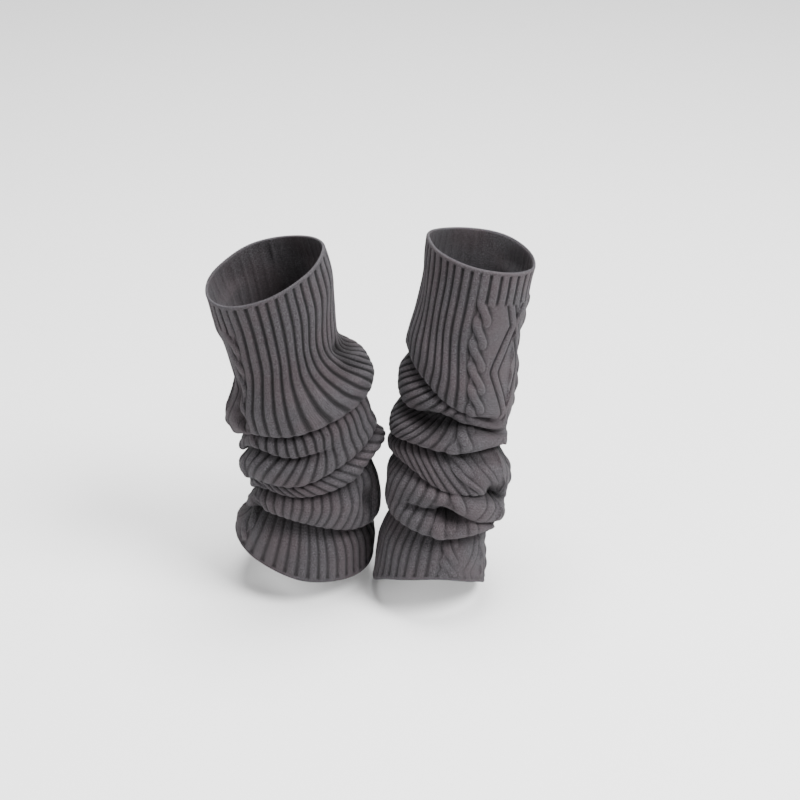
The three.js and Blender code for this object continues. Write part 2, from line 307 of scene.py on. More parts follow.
class YarnLook(bpy.types.PropertyGroup):
    """Colours of the heathered yarn"""

    dark: FloatVectorProperty(
        name="Dark fibre", description="The darkest fibres of the heather",
        subtype="COLOR", size=4, default=(0.016, 0.014, 0.016, 1), min=0, max=1)
    middle: FloatVectorProperty(
        name="Middle fibre", description="Most of the fibres",
        subtype="COLOR", size=4, default=(0.046, 0.042, 0.046, 1), min=0, max=1)
    light: FloatVectorProperty(
        name="Light fibre", description="The palest fibres of the heather",
        subtype="COLOR", size=4, default=(0.098, 0.094, 0.102, 1), min=0, max=1)


class StageSizes(bpy.types.PropertyGroup):
    """The floor and the camera"""

    floor_height: FloatProperty(
        name="Floor height", description="Height of the floor under the hems",
        default=-0.313, unit="LENGTH")
    camera_pitch: FloatProperty(
        name="Camera pitch", description="How far the camera looks down",
        default=math.radians(30), subtype="ANGLE")
    camera_distance: FloatProperty(
        name="Camera distance", description="From the camera to the point that it looks at",
        default=1.5, min=0.1, unit="LENGTH")


def around(values, angle):
    """A smooth value round the tube through those at the compass angles, or one number for all of it."""
    if not isinstance(values, tuple):
        return values + 0 * angle
    stops = np.radians(COMPASS + (COMPASS[0] + 360,))
    value = np.array(values + values[:1], float)
    before, after = np.roll(value[:-1], 1), np.roll(value[:-1], -1)
    gap = np.diff(stops)
    slope = (after - before) / (gap + np.roll(gap, 1))
    slope = np.append(slope, slope[0])
    turned = (angle - stops[0]) % (2 * np.pi) + stops[0]
    i = np.clip(np.searchsorted(stops, turned, side="right") - 1, 0, len(gap) - 1)
    w = (turned - stops[i]) / gap[i]
    rise, start, end = value[i + 1] - value[i], slope[i] * gap[i], slope[i + 1] * gap[i]
    return value[i] + start * w + (3 * rise - 2 * start - end) * w ** 2 + (start + end - 2 * rise) * w ** 3


def soft_step(x):
    """0 below 0, 1 above 1, and smooth in between."""
    x = np.clip(x, 0, 1)
    return x * x * (3 - 2 * x)


class TubeForm:
    """The form of one leg warmer: a point for any place round it and any way down it."""

    def __init__(self, side):
        tube = PAIR[side]
        self.outward = tube["outward"]
        self.panel_at = tube["panel_at"]
        self.rings = []
        for row in tube["rings"]:
            columns = CREASE_COLUMNS if row[0] == "crease" else ROLL_COLUMNS
            self.rings.append(dict(zip(columns, row)))
        drops, xs, ys = np.array(tube["line"], float).T
        self.centre_x = np.polyfit(drops, xs, 2)
        self.centre_y = np.polyfit(drops, ys, 2)
        swells = [dict(zip(SWELL_COLUMNS, row)) for row in SWELLS]
        self.swells = [swell for swell in swells if swell["tube"] == side]
        self.measure_cloth()

    def place(self, angle, drop, reach):
        x = np.polyval(self.centre_x, drop) + self.outward * reach * np.sin(angle)
        y = np.polyval(self.centre_y, drop) - reach * np.cos(angle)
        return np.stack([x, y, -drop], -1)

    def knots(self, column):
        """The points that the columns pass through: one for a ring, and a lip and a tuck for a crease."""
        points = []
        for i, ring in enumerate(self.rings):
            if ring["ring"] != "crease":
                angle = column + np.radians(around(ring["turn"], column))
                points.append(self.place(angle, around(ring["drop"], angle), around(ring["reach"], angle)))
                continue
            above, below = self.rings[i - 1], self.rings[i + 1]
            turns = [around(roll["turn"], column) for roll in (above, below)]
            middle = column + np.radians(sum(turns) / 2)
            held = soft_step(around(ring["depth"], middle) / (FULL_SLANT * max(ring["depth"])))
            start, drop, stop = (around(r["drop"], middle) for r in (above, ring, below))
            lip = above, turns[0], 1, LIP_DEPTH, LIP_LEAN
            tuck = below, turns[1], -1, TUCK_DEPTH, TUCK_LEAN
            for roll, turn, way, tucked, lean in (lip, tuck):
                slanted = turn + way * around(roll["slant"], column) / 2
                share = np.clip((drop - way * CREASE_EASE - start) / (stop - start), 0, 1)
                even = turns[0] + (turns[1] - turns[0]) * share
                angle = column + np.radians(even + (slanted - even) * held)
                depth = np.maximum(around(ring["depth"], angle), LEAST_DEPTH)
                strength = np.clip(depth / max(ring["depth"]), 0, 1)
                shift = -CREASE_EASE + (CREASE_EASE + ring["hang"] / 2) * strength ** HANG_GROWTH
                body = lean * around(above["reach"], angle) + (1 - lean) * around(below["reach"], angle)
                level = around(ring["drop"], angle) + way * shift
                points.append(self.place(angle, level, body - tucked * depth))
        return np.array(points)

    def curve(self, column, ways):
        """Points of the columns at ways from 0 to 1 down them, on centripetal curves through the knots."""
        knots = self.knots(column)
        last = len(knots) - 1
        ends = np.concatenate([[2 * knots[0] - knots[1]], knots, [2 * knots[-1] - knots[-2]]])
        span = np.minimum((ways * last).astype(int), last - 1)
        w = (ways * last - span)[:, None, None]
        p0, p1, p2, p3 = (ends[span + k] for k in range(4))
        d0, d1, d2 = (np.sqrt(np.linalg.norm(b - a, axis=-1, keepdims=True)) + 1e-6
                      for a, b in ((p0, p1), (p1, p2), (p2, p3)))
        slope1 = ((p1 - p0) / d0 - (p2 - p0) / (d0 + d1) + (p2 - p1) / d1) * d1
        slope2 = ((p2 - p1) / d1 - (p3 - p1) / (d1 + d2) + (p3 - p2) / d2) * d1
        bend = -3 * p1 + 3 * p2 - 2 * slope1 - slope2
        twist = 2 * p1 - 2 * p2 + slope1 + slope2
        return p1 + slope1 * w + bend * w ** 2 + twist * w ** 3

    def measure_cloth(self):
        """Ways down the columns at even steps of cloth, and the cloth above each."""
        ways = np.linspace(0, 1, MEASURE_ROWS)
        sides = self.curve(np.radians(np.arange(0, 360, MEASURE_EVERY)), ways)
        steps = np.linalg.norm(np.diff(sides, axis=0), axis=-1).mean(1)
        cloth = np.concatenate([[0], np.cumsum(steps)])
        self.cloth = np.linspace(0, cloth[-1], ROWS + 1)
        self.ways = np.interp(self.cloth, cloth, ways)

    def surface(self, places, ways):
        """The face of the ribs, with its swells and hollows, at places round the tube."""
        wander = sum(far * np.sin(places * rate + start) for far, rate, start in WANDERS)
        points = self.curve(np.radians(self.panel_at + (places + wander) * PITCH), ways)
        drop, across, ahead, angle = self.bearing(points)
        out = sum(far * np.sin(drop / down + angle / turn + start) for far, down, turn, start in RIPPLES)
        out += self.swell_at(angle, drop)
        length = np.hypot(across, ahead)
        kept = HOLLOW_REACH + np.logaddexp(0, (length + out - HOLLOW_REACH) / HOLLOW_EASE) * HOLLOW_EASE
        points[..., 0] += self.outward * across * (kept / length - 1)
        points[..., 1] -= ahead * (kept / length - 1)
        return points

    def bearing(self, points):
        """The drop of points, how far outward and ahead of the centre line they lie, and their angle."""
        drop = -points[..., 2]
        across = self.outward * (points[..., 0] - np.polyval(self.centre_x, drop))
        ahead = np.polyval(self.centre_y, drop) - points[..., 1]
        return drop, across, ahead, np.degrees(np.arctan2(across, ahead))

    def swell_at(self, angle, drop):
        """How far the swells and hollows move the cloth out."""
        out = 0 * drop
        for swell in self.swells:
            aside = (angle - swell["angle"] + 180) % 360 - 180
            along = drop - swell["drop"] - swell["slope"] * aside
            out += swell["out"] * np.exp(-((aside / swell["wide"]) ** 2) - (along / swell["tall"]) ** 2)
        return out

    def tucked(self, face):
        """How deep each point of the face lies in a hollow or between the rolls beside it, from 0 to 1: the
        mask of the painted shade in tucks and hollows.
        """
        drop, across, ahead, angle = self.bearing(face)
        reach = np.hypot(across, ahead)
        padded = np.pad(reach, ((CREST_ROWS, CREST_ROWS), (0, 0)), mode="edge")
        crest = np.max([padded[k:k + len(reach)] for k in range(2 * CREST_ROWS + 1)], axis=0)
        hollow = -self.swell_at(angle, drop) / FULL_SHADE_HOLLOW
        return np.clip(np.maximum((crest - reach - TUCK_FROM) / TUCK_OVER, hollow), 0, 1)

    def directions(self, places, ways):
        """Unit vectors down the cloth and out of it."""
        way, side = 1e-4, 0.05
        below, above = np.minimum(ways + way, 1), np.maximum(ways - way, 0)
        down = self.surface(places, below) - self.surface(places, above)
        aside = self.surface(places + side, ways) - self.surface(places - side, ways)
        out = np.cross(down, aside) * self.outward
        return (v / np.linalg.norm(v, axis=-1, keepdims=True) for v in (down, out))


def rib_height(place, cloth):
    """A rib between two grooves, from 0 to 1, at places round the tube and down the cloth."""
    off_groove = np.abs((place + 0.5) % 1 - 0.5)
    round_top = np.sin(np.pi * off_groove)
    stretched, slack = (flat * soft_step((off_groove - start) / over) + (1 - flat) * round_top
                        for flat, start, over in (STRETCHED_RIB, SLACK_RIB))
    return stretched + (slack - stretched) * soft_step((cloth - SLACK_FROM) / SLACK_OVER)


def rope_height(across, cloth):
    """Two strands that cross over each other, the front one always running down to the right."""
    turn = np.pi * ((cloth - FIRST_CROSSING) / CABLE_CROSSING + 0.5)
    height = np.zeros(np.broadcast(across, turn).shape)
    for strand in (0, np.pi):
        middle = STRAND_SWING * np.cos(turn + strand)
        front = -np.sin(turn + strand)
        round_off = 1 - ((across - middle) / STRAND_HALF) ** 2
        level = STRAND_LEVEL + np.where(front > 0, STRAND_RISE, STRAND_SINK) * front
        height = np.maximum(height, np.sqrt(np.maximum(round_off, 0)) * level)
    return height


def diamond_line(side, cloth):
    """A raised line between two grooves that swings out from the panel's middle and back, from -1 to 1."""
    phase = ((cloth - DIAMOND_START) / DIAMOND_LENGTH) % 1
    swing = DIAMOND_HALF * (CORNER_REACH - np.sqrt((1 - 2 * phase) ** 2 + CORNER_ROUNDING))
    away = np.abs(side - swing) / LINE_HALF
    line = np.sqrt(np.maximum(1 - away ** 2, 0))
    groove = np.exp(-((away - GROOVE_AT) / GROOVE_HALF) ** 2)
    return line - GROOVE_DEPTH * groove


def panel_height(place, cloth, room, outward, sizes):
    """What stands above the bottom of a groove on the panel, in metres, lower where the cloth has no room."""
    rib = sizes.rib_depth
    side = np.abs(place)
    ribs = rib * rib_height(place, cloth)
    relief = room * (1 - DIAMOND_FADE * soft_step((cloth - EVEN_FROM) / EVEN_OVER))
    ground = GROUND_RISE * rib + LINE_RISE * rib * relief * diamond_line(side, cloth)
    across = outward * (place - np.sign(place) * CABLE_AT) / CABLE_HALF
    rope = (rib + sizes.cable_rise) * rope_height(across, cloth) * (CROWDED_ROPE + (1 - CROWDED_ROPE) * room)
    between = soft_step((CABLE_AT + GROUND_UNDER_CABLE * CABLE_HALF - side) / GROUND_EASE)
    pattern = np.where(side < RIBS_BEYOND, np.maximum(rope, ground * between), ribs + 0 * rope)
    welt = soft_step((cloth - WELT) / WELT_EASE)
    return ribs * (1 - welt) + pattern * welt


def smoothed(values, rows, columns):
    """The mean of the values within so many rows and columns."""
    for axis, near in ((0, rows), (1, columns)):
        ends = [(0, 0), (0, 0)]
        ends[axis] = (near, near)
        padded = np.pad(values, ends, mode="edge")
        count = values.shape[axis]
        values = sum(padded.take(range(k, k + count), axis) for k in range(2 * near + 1)) / (2 * near + 1)
    return values


def edge_fade(cloth, length):
    """0 along the first and last stitches of the cloth, where the grooves run out, and 1 between them."""
    return soft_step((cloth - EDGE_PLAIN) / EDGE_EASE) * soft_step((length - cloth - EDGE_PLAIN) / EDGE_EASE)


def grid_faces(index):
    """Quads of a grid of vertex numbers, row after row."""
    return np.stack([index[:-1, :-1], index[:-1, 1:], index[1:, 1:], index[1:, :-1]], -1).reshape(-1, 4)


def inside_surface(form, places, ways, inset):
    """The plain inside of a leg warmer: a tube that passes behind the tucks of the folds."""
    drop, across, ahead, angle = form.bearing(form.surface(places, ways))
    reach = np.hypot(across, ahead)
    rows = len(ways)
    even = (drop[-1] - drop[0]) * np.linspace(0, 1, rows)[:, None] + drop[0]
    level = (1 - INSIDE_EVEN) * np.maximum.accumulate(drop, axis=0) + INSIDE_EVEN * even
    padded = np.pad(reach, ((INSIDE_ROWS, INSIDE_ROWS), (0, 0)), mode="edge")
    lowest = np.min([padded[k:k + rows] for k in range(2 * INSIDE_ROWS + 1)], axis=0)
    for end in (slice(0, INSIDE_ROWS), slice(-INSIDE_ROWS, None)):
        lowest[end] = reach[end]
    level[0], level[-1] = drop[0], drop[-1]
    return form.place(np.radians(angle), level, lowest - inset)


def knit_mesh(name, form, places, height_at, sizes):
    """A closed shell of knit between two columns of one leg warmer, with its UV map in stitches."""
    wall, rib = sizes.wall / MM, sizes.rib_depth / MM
    cloth, ways, length = form.cloth[:, None], form.ways, form.cloth[-1]
    face = form.surface(places, ways)
    down, out = form.directions(places, ways)
    steps = np.linalg.norm(np.diff(face, axis=0), axis=-1)
    even = np.diff(cloth, axis=0)
    room = smoothed(np.clip((steps / even - CROWDED) / (1 - CROWDED), 0, 1), ROOM_ROWS, ROOM_COLUMNS)
    room = np.concatenate([room[:1], room])
    steps += (even - steps) * soft_step((cloth[1:] - EVEN_FROM) / EVEN_OVER)
    along = np.concatenate([np.zeros((1, len(places))), np.cumsum(steps, axis=0)])
    height = height_at(places[None, :], along, room) / MM
    under = soft_step((-out[..., 2] - UNDER_FROM) / UNDER_OVER)
    fade = edge_fade(cloth, length) * (1 - RIB_FLATTENING * under)
    height = height * fade + rib * (1 - fade)
    outer = face + out * (height - rib)[..., None]

    inner_rows = np.arange(0, ROWS + 1, INNER_SKIP)
    ridge = INSIDE_RIDGE * (1 - rib_height(places[None, :], along[inner_rows]))
    ridge *= edge_fade(cloth, length)[inner_rows]
    inset = inside_surface(form, places, ways[inner_rows], wall + ridge)

    turns = np.linspace(0, np.pi, EDGE_STEPS + 2)[1:-1, None, None]
    ends = []
    for row, inner_row, way in ((0, 0, -1), (-1, -1, 1)):
        middle = (outer[row] + inset[inner_row]) / 2
        half = (outer[row] - inset[inner_row]) / 2
        depth = np.linalg.norm(half, axis=-1, keepdims=True)
        ends.append(middle + half * np.cos(turns) + way * down[row] * depth * np.sin(turns) * EDGE_BULGE)

    columns = len(places)
    skin = np.concatenate([ends[0][::-1], outer, ends[1]])
    skin_rows, inner_count = len(skin), len(inner_rows)
    vertices = np.concatenate([skin, inset]).reshape(-1, 3) * MM
    index = np.arange(len(vertices)).reshape(-1, columns)
    skin_index, inner_index = index[:skin_rows], index[skin_rows:]

    quads = [grid_faces(skin_index), grid_faces(inner_index)[:, ::-1]]
    for near, far in ((skin_index[0], inner_index[0]), (inner_index[-1], skin_index[-1])):
        quads.append(np.stack([far[:-1], far[1:], near[1:], near[:-1]], -1))
    triangles = []
    for column, turned in ((0, False), (-1, True)):
        long, short = skin_index[:, column], inner_index[:, column]
        marks = np.clip((np.arange(skin_rows) - EDGE_STEPS) / INNER_SKIP, 0, inner_count - 1)
        nearest = np.round(marks).astype(int)
        for i in range(1, skin_rows):
            a, b = nearest[i - 1], nearest[i]
            made = [(long[i - 1], long[i], short[a])]
            if b > a:
                made.append((long[i], short[b], short[a]))
            triangles += [t[::-1] for t in made] if turned else made

    faces = np.concatenate(quads).tolist() + triangles
    if form.outward > 0:
        faces = [face[::-1] for face in faces]
    mesh = bpy.data.meshes.new(name)
    mesh.from_pydata(vertices.tolist(), [], faces)
    mesh.update()

    stitch = sizes.stitch_height / MM
    skin_cloth = np.concatenate([np.zeros(EDGE_STEPS), form.cloth, np.full(EDGE_STEPS, length)])
    v = np.concatenate([np.repeat(skin_cloth, columns), np.repeat(form.cloth[inner_rows], columns)]) / stitch
    u = np.tile(places * STITCHES_IN_RIB, skin_rows + inner_count) + STITCHES_IN_RIB / 2
    corner = np.empty(len(mesh.loops), int)
    mesh.loops.foreach_get("vertex_index", corner)
    uv = mesh.uv_layers.new(name="stitches")
    uv.data.foreach_set("uv", np.stack([u[corner], v[corner]], -1).ravel())

    pad = np.zeros((EDGE_STEPS, columns))
    reach = max(round(GROOVE_REACH / (places[1] - places[0])), 1)
    # The groove and tuck attributes are masks of painted shade, by which the knit material darkens its colour
    # in grooves, tucks and hollows; the outside one marks where the nap grows
    groove = np.clip((smoothed(height, GROOVE_ROWS, reach) - height) / (GROOVE_FULL * rib), 0, 1)
    groove *= 1 - SLACK_SHADE * soft_step((along - SLACK_FROM) / SLACK_OVER)
    outside = {"groove": groove, "tuck": form.tucked(face), "outside": np.ones(face.shape[:2])}
    for attribute, shown in outside.items():
        inside = np.full((inner_count, columns), INSIDE_SHADES[attribute])
        values = np.concatenate([pad, shown, pad, inside])
        mesh.attributes.new(attribute, "FLOAT", "POINT").data.foreach_set("value", values.ravel())
    mesh.polygons.foreach_set("use_smooth", [True] * len(mesh.polygons))
    mesh.set_sharp_from_angle(angle=math.radians(SHARP_FROM))
    return mesh


def add_node(tree, kind, inputs=None, **settings):
    """A node with its settings, and its inputs set to values or linked from sockets."""
    node = tree.nodes.new(kind)
    for name, value in settings.items():
        setattr(node, name, value)
    for key, value in (inputs or {}).items():
        if isinstance(value, bpy.types.NodeSocket):
            tree.links.new(value, node.inputs[key])
        else:
            node.inputs[key].default_value = value
    return node


def maths(tree, operation, *values):
    """The output of a Math node."""
    return add_node(tree, "ShaderNodeMath", dict(enumerate(values)), operation=operation).outputs[0]


def noise(tree, vector, scale, detail=2.0, roughness=0.5):
    """The height of a Noise Texture node."""
    inputs = {"Vector": vector, "Scale": scale, "Detail": detail, "Roughness": roughness}
    return add_node(tree, "ShaderNodeTexNoise", inputs).outputs[0]


def spread(tree, value, low, high, to_low=0.0, to_high=1.0):
    """The output of a Map Range node."""
    inputs = {"Value": value, "From Min": low, "From Max": high, "To Min": to_low, "To Max": to_high}
    return add_node(tree, "ShaderNodeMapRange", inputs).outputs[0]


def mix_colours(tree, share, first, second):
    """The colour from a Mix node."""
    return add_node(tree, "ShaderNodeMix", {0: share, 6: first, 7: second}, data_type="RGBA").outputs[2]


def new_object(name, data):
    """An object of the data, in the scene."""
    made = bpy.data.objects.new(name, data)
    bpy.context.scene.collection.objects.link(made)
    return made


def new_material(name, inputs):
    """A material whose shader has the given inputs, its node tree and its shader."""
    material = bpy.data.materials.new(name)
    material.use_nodes = True
    shader = material.node_tree.nodes["Principled BSDF"]
    for label, value in inputs.items():
        shader.inputs[label].default_value = value
    return material, material.node_tree, shader


def new_group(name, inputs, outputs, kind="ShaderNodeTree"):
    """A node group with named inputs, as (name, socket type, default), and named outputs."""
    tree = bpy.data.node_groups.new(name, kind)
    for label, socket_type, default in inputs:
        socket = tree.interface.new_socket(label, in_out="INPUT", socket_type=socket_type)
        if default is not None:
            socket.default_value = default
    for label, socket_type in outputs:
        tree.interface.new_socket(label, in_out="OUTPUT", socket_type=socket_type)
    start = tree.nodes.new("NodeGroupInput")
    end = tree.nodes.new("NodeGroupOutput")
    return tree, start.outputs, end.inputs


def stitch_group():
    """Height of plain knitting: columns of small slanting legs that meet in a V in each stitch."""
    tree, given, made = new_group(
        "knit_stitches",
        [("Stitches", "NodeSocketVector", None), ("Slant", "NodeSocketFloat", 1.3)],
        [("Height", "NodeSocketFloat")])
    split = add_node(tree, "ShaderNodeSeparateXYZ", {0: given["Stitches"]})
    offset = maths(tree, "SUBTRACT", maths(tree, "FRACT", split.outputs[0]), 0.5)
    aside = maths(tree, "ABSOLUTE", offset)
    wave = maths(tree, "SINE", maths(tree, "MULTIPLY", aside, 2 * math.pi))
    leg = maths(tree, "SQRT", maths(tree, "ABSOLUTE", wave))
    slanted = maths(tree, "ADD", split.outputs[1], maths(tree, "MULTIPLY", aside, given["Slant"]))
    row = maths(tree, "SINE", maths(tree, "MULTIPLY", maths(tree, "FRACT", slanted), math.pi))
    height = maths(tree, "MULTIPLY", leg, maths(tree, "MULTIPLY_ADD", row, 0.6, 0.4))
    tree.links.new(height, made["Height"])
    return tree


def heather_group():
    """Colour of a yarn spun from dark, middle and light fibres, and the mix of its fibres as a value from 0
    to 1.
    """
    tree, given, made = new_group(
        "heathered_yarn",
        [("Stitches", "NodeSocketVector", None), ("Place", "NodeSocketVector", None),
         ("Dark", "NodeSocketColor", (0.06, 0.055, 0.06, 1)),
         ("Middle", "NodeSocketColor", (0.13, 0.13, 0.13, 1)),
         ("Light", "NodeSocketColor", (0.24, 0.235, 0.245, 1))],
        [("Color", "NodeSocketColor"), ("Fibres", "NodeSocketFloat")])
    streaks = add_node(tree, "ShaderNodeMapping", {"Vector": given["Stitches"], "Scale": STREAK_SCALE})
    streak = maths(tree, "MULTIPLY", noise(tree, streaks.outputs[0], STREAKS, 3.0, 0.65), STREAK_SHARE)
    speck = maths(tree, "MULTIPLY", noise(tree, given["Place"], SPECKS), SPECK_SHARE)
    patch = noise(tree, given["Place"], PATCHES)
    mixed = maths(tree, "ADD", streak, speck)
    shade = spread(tree, mixed, 0.34, 0.66)
    first = mix_colours(tree, spread(tree, shade, 0.0, 0.5), given["Dark"], given["Middle"])
    second = mix_colours(tree, spread(tree, shade, 0.5, 1.0), first, given["Light"])
    warm = mix_colours(tree, spread(tree, patch, 0.42, 0.62, 0.0, WARM_SHARE), second, WARM_COLOUR)
    tree.links.new(warm, made["Color"])
    tree.links.new(shade, made["Fibres"])
    return tree


def knit_material(name, groups, look, bump, groove_shade):
    """Knitted yarn: heathered colour, V stitches and fibres as bump, painted shade in the grooves, tucks and
    stitch hollows with a painted highlight on the stitch tops, and a soft sheen.
    """
    material, tree, shader = new_material(name, {
        "Roughness": 0.9, "Sheen Weight": 0.05, "Sheen Roughness": 0.5, "Sheen Tint": (0.8, 0.78, 0.82, 1),
        "Specular IOR Level": 0.15})
    place = add_node(tree, "ShaderNodeTexCoord").outputs["Object"]
    stitches = add_node(tree, "ShaderNodeUVMap", uv_map="stitches").outputs[0]
    groove = add_node(tree, "ShaderNodeAttribute", attribute_name="groove").outputs["Fac"]

    yarn = add_node(tree, "ShaderNodeGroup", node_tree=groups["yarn"])
    tree.links.new(stitches, yarn.inputs["Stitches"])
    tree.links.new(place, yarn.inputs["Place"])
    for label, colour in {"Dark": look.dark, "Middle": look.middle, "Light": look.light}.items():
        yarn.inputs[label].default_value = tuple(colour)
    knit = add_node(tree, "ShaderNodeGroup", node_tree=groups["stitches"])
    tree.links.new(stitches, knit.inputs["Stitches"])

    # Painted shade: the colour is darkened by the groove and tuck masks, and it is made darker in the hollows
    # of the stitches and lighter on their tops
    tuck = add_node(tree, "ShaderNodeAttribute", attribute_name="tuck").outputs["Fac"]
    shade = maths(tree, "MULTIPLY", maths(tree, "MULTIPLY_ADD", groove, -groove_shade, 1.0),
                  maths(tree, "MULTIPLY_ADD", tuck, -TUCK_SHADE, 1.0))
    painted_shade = maths(tree, "MULTIPLY", shade, spread(tree, knit.outputs[0], 0.0, 1.0, 0.78, 1.08))
    colour = add_node(tree, "ShaderNodeVectorMath", {0: yarn.outputs["Color"], "Scale": painted_shade},
                      operation="SCALE")
    tree.links.new(colour.outputs[0], shader.inputs["Base Color"])

    fuzz = noise(tree, place, FUZZ, 3.0)
    raised = maths(tree, "ADD", knit.outputs[0], maths(tree, "MULTIPLY", fuzz, 0.7))
    relief = add_node(tree, "ShaderNodeBump", {"Height": raised, "Distance": bump, "Strength": 0.9})
    tree.links.new(relief.outputs[0], shader.inputs["Normal"])
    return material


def finish_piece(name, mesh, material, nodes=()):
    """The object of a finished mesh, on the only body, in place of its CAD nodes."""
    piece = new_object(name, mesh)
    mesh.materials.clear()
    mesh.materials.append(material)
    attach(piece, "root")
    if nodes:
        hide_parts(*nodes)
    return piece


def shared_groups():
    """The shader groups of the yarn, built once."""
    groups = bpy.data.node_groups
    return {"yarn": groups.get("heathered_yarn") or heather_group(),
            "stitches": groups.get("knit_stitches") or stitch_group()}


class KNIT_OT_ribbed_parts(bpy.types.Operator):
    """Make the ribbed part of each leg warmer"""

    bl_idname = "knit.ribbed_parts"
    bl_label = "Ribbed parts"

    def execute(self, context):
        sizes, look = context.scene.knit_sizes, context.scene.yarn_look
        material = knit_material("rib_knit", shared_groups(), look, 0.5 * MM, RIB_SHADE)
        first, last = PANEL_TO, RIBS_ROUND + PANEL_FROM
        places = np.linspace(first, last, (last - first) * RIB_STEPS + 1)
        for side in PAIR:
            mesh = knit_mesh(f"{side}_rib_knit", TubeForm(side), places,
                             lambda place, cloth, room: sizes.rib_depth * rib_height(place, cloth), sizes)
            finish_piece(f"{side}_rib_knit", mesh, material, [f"{side}_ribbed_part"])
        return {"FINISHED"}


class KNIT_OT_cable_panels(bpy.types.Operator):
    """Make the cable panel on the outer side of each leg warmer"""

    bl_idname = "knit.cable_panels"
    bl_label = "Cable panels"

    def execute(self, context):
        sizes, look = context.scene.knit_sizes, context.scene.yarn_look
        material = knit_material("cable_knit", shared_groups(), look, 0.5 * MM, CABLE_SHADE)
        places = np.linspace(PANEL_FROM, PANEL_TO, (PANEL_TO - PANEL_FROM) * PANEL_STEPS + 1)
        for side in PAIR:
            form = TubeForm(side)
            mesh = knit_mesh(
                f"{side}_cable_knit", form, places,
                lambda place, cloth, room: panel_height(place, cloth, room, form.outward, sizes), sizes)
            finish_piece(f"{side}_cable_knit", mesh, material, [f"{side}_cable_panel"])
        return {"FINISHED"}


def nodes_input(modifier, label, value):
    """Sets a named input of a Geometry Nodes modifier through its socket's identifier."""
    for socket in modifier.node_group.interface.items_tree:
        if socket.item_type == "SOCKET" and socket.in_out == "INPUT" and socket.name == label:
            modifier[socket.identifier] = value


def grown_mesh(name, base, tree, inputs):
    """The plain mesh that a Geometry Nodes tree makes from a base mesh."""
    carrier = new_object("carrier", base)
    modifier = carrier.modifiers.new("grow", "NODES")
    modifier.node_group = tree
    for label, value in inputs.items():
        nodes_input(modifier, label, value)
    depsgraph = bpy.context.evaluated_depsgraph_get()
    depsgraph.update()
    mesh = bpy.data.meshes.new_from_object(carrier.evaluated_get(depsgraph), depsgraph=depsgraph)
    mesh.name = name
    carrier.modifiers.remove(modifier)
    bpy.data.objects.remove(carrier)
    return mesh


def chain_tree():
    """Loops of a cast-off chain along a closed line: flattened beads that lean along it."""
    tree, given, made = new_group(
        "chain_of_loops",
        [("Line", "NodeSocketGeometry", None), ("Spacing", "NodeSocketFloat", 0.0024),
         ("Thickness", "NodeSocketFloat", 0.0016), ("Material", "NodeSocketMaterial", None)],
        [("Mesh", "NodeSocketGeometry")], "GeometryNodeTree")
    line = add_node(tree, "GeometryNodeMeshToCurve", {0: given["Line"]})
    stops = add_node(tree, "GeometryNodeResampleCurve",
                     {"Curve": line.outputs[0], "Length": given["Spacing"]}, mode="LENGTH")
    along = add_node(tree, "GeometryNodeInputTangent").outputs[0]
    turned = add_node(tree, "FunctionNodeAlignRotationToVector", {"Vector": along}, axis="X")
    bead = add_node(tree, "GeometryNodeMeshUVSphere", {"Segments": 8, "Rings": 6, "Radius": 0.5})
    leaned = add_node(tree, "GeometryNodeTransform",
                      {"Geometry": bead.outputs[0], "Rotation": (0.0, 0.0, math.radians(LOOP_LEAN)),
                       "Scale": LOOP_SHAPE})
    beads = add_node(tree, "GeometryNodeInstanceOnPoints",
                     {"Points": stops.outputs[0], "Instance": leaned.outputs[0],
                      "Rotation": turned.outputs[0], "Scale": given["Thickness"]})
    real = add_node(tree, "GeometryNodeRealizeInstances", {0: beads.outputs[0]})
    smooth = add_node(tree, "GeometryNodeSetShadeSmooth", {0: real.outputs[0]})
    dressed = add_node(tree, "GeometryNodeSetMaterial",
                       {0: smooth.outputs[0], "Material": given["Material"]})
    tree.links.new(dressed.outputs[0], made["Mesh"])
    return tree


